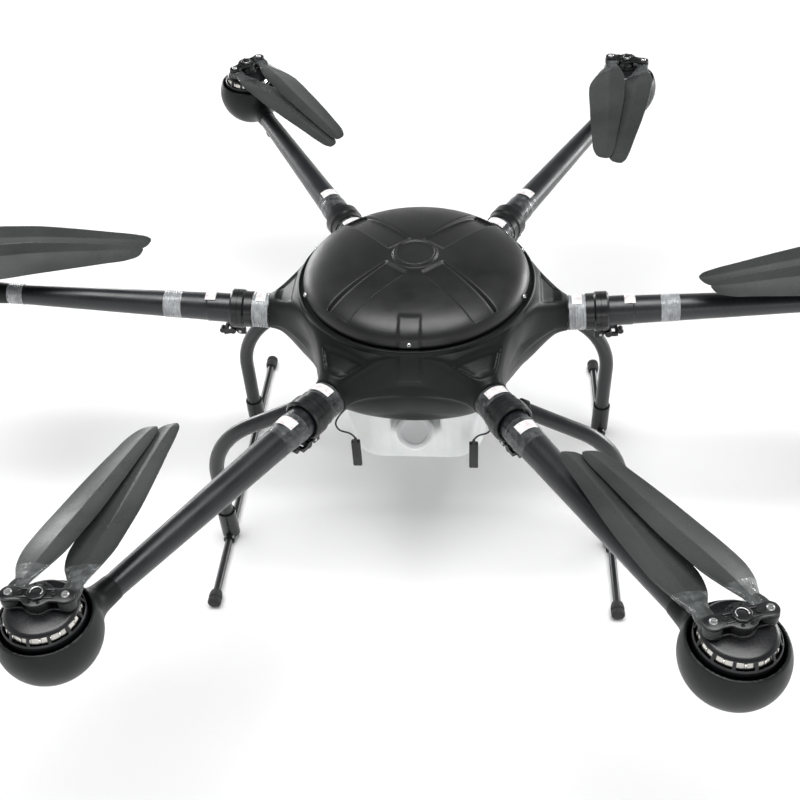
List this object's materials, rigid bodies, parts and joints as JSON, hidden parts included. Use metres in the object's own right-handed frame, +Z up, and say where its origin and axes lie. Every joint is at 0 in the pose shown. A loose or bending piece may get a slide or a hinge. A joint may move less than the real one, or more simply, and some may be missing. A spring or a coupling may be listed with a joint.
{
  "type": "hexacopter drone",
  "caption": "Six-arm spraying drone with a closed round hull, folding arms and propellers, a white tank below and tube skids.",
  "frame": {"origin": "on the ground under the centre line of the hull, level with the underside of the four skid caps", "axes": "+Z up, -Y towards the front (the tank's filler cap), +X towards the right-hand arm in a view from the front; all six arms radiate from the Z axis"},
  "size_m": [1.3582, 1.1896, 0.3958],
  "materials": {
    "hull_plastic": "moulded, satin, fine grain",
    "canopy_plastic": "moulded, satin, fine grain",
    "carbon_tube": "wound carbon fibre, satin clear coat",
    "black_alloy": "black anodised, satin",
    "pod_plastic": "moulded, soft satin",
    "motor_alloy": "black anodised with bright windings behind the windows",
    "blade_carbon": "carbon-filled nylon, satin",
    "steel": "bright steel",
    "tank_plastic": "milky polyethylene",
    "cap_plastic": "white polypropylene",
    "rubber": "matt rubber",
    "cell_wrap": "shrink wrap",
    "case_grey": "moulded, matt",
    "cable": "cable jacket"
  },
  "bodies": {
    "airframe": {"hull_shell": "hull_plastic", "hull_floor": "hull_plastic", "arm_sockets": "black_alloy", "fold_pins": "steel", "centre_frame": "case_grey", "battery": "cell_wrap", "flight_controller": "case_grey", "tank": "tank_plastic", "pump": "case_grey", "landing_legs": "carbon_tube", "skid_tubes": "carbon_tube", "leg_clamps": "black_alloy", "skid_caps": "rubber", "antenna_lead_left": "cable", "antenna_lead_right": "cable", "antenna_pods": "case_grey"},
    "canopy": {"canopy": "canopy_plastic"},
    "tank_cap": {"tank_cap": "cap_plastic"},
    "arm_right": {"arm_tube_right": "carbon_tube", "arm_collar_right": "black_alloy", "motor_pod_right": "pod_plastic"},
    "lever_right": {"cam_lever_right": "black_alloy"},
    "rotor_right": {"rotor_right": "motor_alloy"},
    "blade_a_right": {"blade_a_right": "blade_carbon"},
    "blade_b_right": {"blade_b_right": "blade_carbon"},
    "arm_rear_right": {"arm_tube_rear_right": "carbon_tube", "arm_collar_rear_right": "black_alloy", "motor_pod_rear_right": "pod_plastic"},
    "lever_rear_right": {"cam_lever_rear_right": "black_alloy"},
    "rotor_rear_right": {"rotor_rear_right": "motor_alloy"},
    "blade_a_rear_right": {"blade_a_rear_right": "blade_carbon"},
    "blade_b_rear_right": {"blade_b_rear_right": "blade_carbon"},
    "arm_rear_left": {"arm_tube_rear_left": "carbon_tube", "arm_collar_rear_left": "black_alloy", "motor_pod_rear_left": "pod_plastic"},
    "lever_rear_left": {"cam_lever_rear_left": "black_alloy"},
    "rotor_rear_left": {"rotor_rear_left": "motor_alloy"},
    "blade_a_rear_left": {"blade_a_rear_left": "blade_carbon"},
    "blade_b_rear_left": {"blade_b_rear_left": "blade_carbon"},
    "arm_left": {"arm_tube_left": "carbon_tube", "arm_collar_left": "black_alloy", "motor_pod_left": "pod_plastic"},
    "lever_left": {"cam_lever_left": "black_alloy"},
    "rotor_left": {"rotor_left": "motor_alloy"},
    "blade_a_left": {"blade_a_left": "blade_carbon"},
    "blade_b_left": {"blade_b_left": "blade_carbon"},
    "arm_front_left": {"arm_tube_front_left": "carbon_tube", "arm_collar_front_left": "black_alloy", "motor_pod_front_left": "pod_plastic"},
    "lever_front_left": {"cam_lever_front_left": "black_alloy"},
    "rotor_front_left": {"rotor_front_left": "motor_alloy"},
    "blade_a_front_left": {"blade_a_front_left": "blade_carbon"},
    "blade_b_front_left": {"blade_b_front_left": "blade_carbon"},
    "arm_front_right": {"arm_tube_front_right": "carbon_tube", "arm_collar_front_right": "black_alloy", "motor_pod_front_right": "pod_plastic"},
    "lever_front_right": {"cam_lever_front_right": "black_alloy"},
    "rotor_front_right": {"rotor_front_right": "motor_alloy"},
    "blade_a_front_right": {"blade_a_front_right": "blade_carbon"},
    "blade_b_front_right": {"blade_b_front_right": "blade_carbon"}
  },
  "joints": [
    {"name": "arm_fold_right", "type": "hinge", "parent": "airframe", "child": "arm_right", "pos_m": [0.24165, 0, 0.26599], "axis": [0, -1, 0], "range_deg": [-40, 0]},
    {"name": "lever_swing_right", "type": "hinge", "parent": "arm_right", "child": "lever_right", "pos_m": [0.2522, 0, 0.26576], "axis": [0, 1, 0], "range_deg": [0, 75]},
    {"name": "rotor_spin_right", "type": "hinge", "parent": "arm_right", "child": "rotor_right", "pos_m": [0.63, 0, 0.32582], "axis": [-0.0725, 0, 0.9974], "continuous": true},
    {"name": "blade_a_fold_right", "type": "hinge", "parent": "rotor_right", "child": "blade_a_right", "pos_m": [0.6191, 0.02566, 0.38419], "axis": [0.0725, 0, -0.9974], "range_deg": [0, 81.5]},
    {"name": "blade_b_fold_right", "type": "hinge", "parent": "rotor_right", "child": "blade_b_right", "pos_m": [0.63234, -0.02566, 0.38515], "axis": [-0.0725, 0, 0.9974], "range_deg": [0, 105.5]},
    {"name": "arm_fold_rear_right", "type": "hinge", "parent": "airframe", "child": "arm_rear_right", "pos_m": [0.12083, 0.20928, 0.26599], "axis": [0.866, -0.5, 0], "range_deg": [-40, 0]},
    {"name": "lever_swing_rear_right", "type": "hinge", "parent": "arm_rear_right", "child": "lever_rear_right", "pos_m": [0.1261, 0.21841, 0.26576], "axis": [-0.866, 0.5, 0], "range_deg": [0, 75]},
    {"name": "rotor_spin_rear_right", "type": "hinge", "parent": "arm_rear_right", "child": "rotor_rear_right", "pos_m": [0.315, 0.5456, 0.32582], "axis": [-0.0363, -0.0628, 0.9974], "continuous": true},
    {"name": "blade_a_fold_rear_right", "type": "hinge", "parent": "rotor_rear_right", "child": "blade_a_rear_right", "pos_m": [0.28804, 0.55118, 0.38435], "axis": [0.0363, 0.0628, -0.9974], "range_deg": [0, 105.5]},
    {"name": "blade_b_fold_rear_right", "type": "hinge", "parent": "rotor_rear_right", "child": "blade_b_rear_right", "pos_m": [0.33768, 0.5326, 0.38498], "axis": [-0.0363, -0.0628, 0.9974], "range_deg": [0, 81.5]},
    {"name": "arm_fold_rear_left", "type": "hinge", "parent": "airframe", "child": "arm_rear_left", "pos_m": [-0.12083, 0.20928, 0.26599], "axis": [0.866, 0.5, 0], "range_deg": [-40, 0]},
    {"name": "lever_swing_rear_left", "type": "hinge", "parent": "arm_rear_left", "child": "lever_rear_left", "pos_m": [-0.1261, 0.21841, 0.26576], "axis": [-0.866, -0.5, 0], "range_deg": [0, 75]},
    {"name": "rotor_spin_rear_left", "type": "hinge", "parent": "arm_rear_left", "child": "rotor_rear_left", "pos_m": [-0.315, 0.5456, 0.32582], "axis": [0.0363, -0.0628, 0.9974], "continuous": true},
    {"name": "blade_a_fold_rear_left", "type": "hinge", "parent": "rotor_rear_left", "child": "blade_a_rear_left", "pos_m": [-0.32937, 0.52117, 0.38396], "axis": [-0.0363, 0.0628, -0.9974], "range_deg": [0, 81.5]},
    {"name": "blade_b_fold_rear_left", "type": "hinge", "parent": "rotor_rear_left", "child": "blade_b_rear_left", "pos_m": [-0.29635, 0.56261, 0.38537], "axis": [0.0363, -0.0628, 0.9974], "range_deg": [0, 105.5]},
    {"name": "arm_fold_left", "type": "hinge", "parent": "airframe", "child": "arm_left", "pos_m": [-0.24165, 0, 0.26599], "axis": [0, 1, 0], "range_deg": [-40, 0]},
    {"name": "lever_swing_left", "type": "hinge", "parent": "arm_left", "child": "lever_left", "pos_m": [-0.2522, 0, 0.26576], "axis": [0, -1, 0], "range_deg": [-17, 58]},
    {"name": "rotor_spin_left", "type": "hinge", "parent": "arm_left", "child": "rotor_left", "pos_m": [-0.63, 0, 0.32582], "axis": [0.0725, 0, 0.9974], "continuous": true},
    {"name": "blade_a_fold_left", "type": "hinge", "parent": "rotor_left", "child": "blade_a_left", "pos_m": [-0.62457, -0.02647, 0.38458], "axis": [-0.0725, 0, -0.9974], "range_deg": [0, 105.5]},
    {"name": "blade_b_fold_left", "type": "hinge", "parent": "rotor_left", "child": "blade_b_left", "pos_m": [-0.62687, 0.02647, 0.38475], "axis": [0.0725, 0, 0.9974], "range_deg": [0, 81.5]},
    {"name": "arm_fold_front_left", "type": "hinge", "parent": "airframe", "child": "arm_front_left", "pos_m": [-0.12083, -0.20928, 0.26599], "axis": [-0.866, 0.5, 0], "range_deg": [-40, 0]},
    {"name": "lever_swing_front_left", "type": "hinge", "parent": "arm_front_left", "child": "lever_front_left", "pos_m": [-0.1261, -0.21841, 0.26576], "axis": [0.866, -0.5, 0], "range_deg": [0, 75]},
    {"name": "rotor_spin_front_left", "type": "hinge", "parent": "arm_front_left", "child": "rotor_front_left", "pos_m": [-0.315, -0.5456, 0.32582], "axis": [0.0363, 0.0628, 0.9974], "continuous": true},
    {"name": "blade_a_fold_front_left", "type": "hinge", "parent": "rotor_front_left", "child": "blade_a_front_left", "pos_m": [-0.28638, -0.54169, 0.38369], "axis": [-0.0363, -0.0628, -0.9974], "range_deg": [0, 81.5]},
    {"name": "blade_b_fold_front_left", "type": "hinge", "parent": "rotor_front_left", "child": "blade_b_front_left", "pos_m": [-0.33934, -0.54209, 0.38564], "axis": [0.0363, 0.0628, 0.9974], "range_deg": [0, 105.5]},
    {"name": "arm_fold_front_right", "type": "hinge", "parent": "airframe", "child": "arm_front_right", "pos_m": [0.12083, -0.20928, 0.26599], "axis": [-0.866, -0.5, 0], "range_deg": [-40, 0]},
    {"name": "lever_swing_front_right", "type": "hinge", "parent": "arm_front_right", "child": "lever_front_right", "pos_m": [0.1261, -0.21841, 0.26576], "axis": [0.866, 0.5, 0], "range_deg": [0, 75]},
    {"name": "rotor_spin_front_right", "type": "hinge", "parent": "arm_front_right", "child": "rotor_front_right", "pos_m": [0.315, -0.5456, 0.32582], "axis": [-0.0363, 0.0628, 0.9974], "continuous": true},
    {"name": "blade_a_fold_front_right", "type": "hinge", "parent": "rotor_front_right", "child": "blade_a_front_right", "pos_m": [0.33813, -0.53391, 0.38508], "axis": [0.0363, -0.0628, -0.9974], "range_deg": [0, 105.5]},
    {"name": "blade_b_fold_front_right", "type": "hinge", "parent": "rotor_front_right", "child": "blade_b_front_right", "pos_m": [0.28759, -0.54987, 0.38425], "axis": [-0.0363, 0.0628, 0.9974], "range_deg": [0, 81.5]},
    {"name": "canopy_lift", "type": "slide", "parent": "airframe", "child": "canopy", "axis": [0, 0, 1], "range_m": [0, 0.2]},
    {"name": "tank_cap_turn", "type": "hinge", "parent": "airframe", "child": "tank_cap", "pos_m": [0, -0.11, 0.179], "axis": [0, -0.7071, 0.7071], "range_deg": [0, 360]}
  ]
}
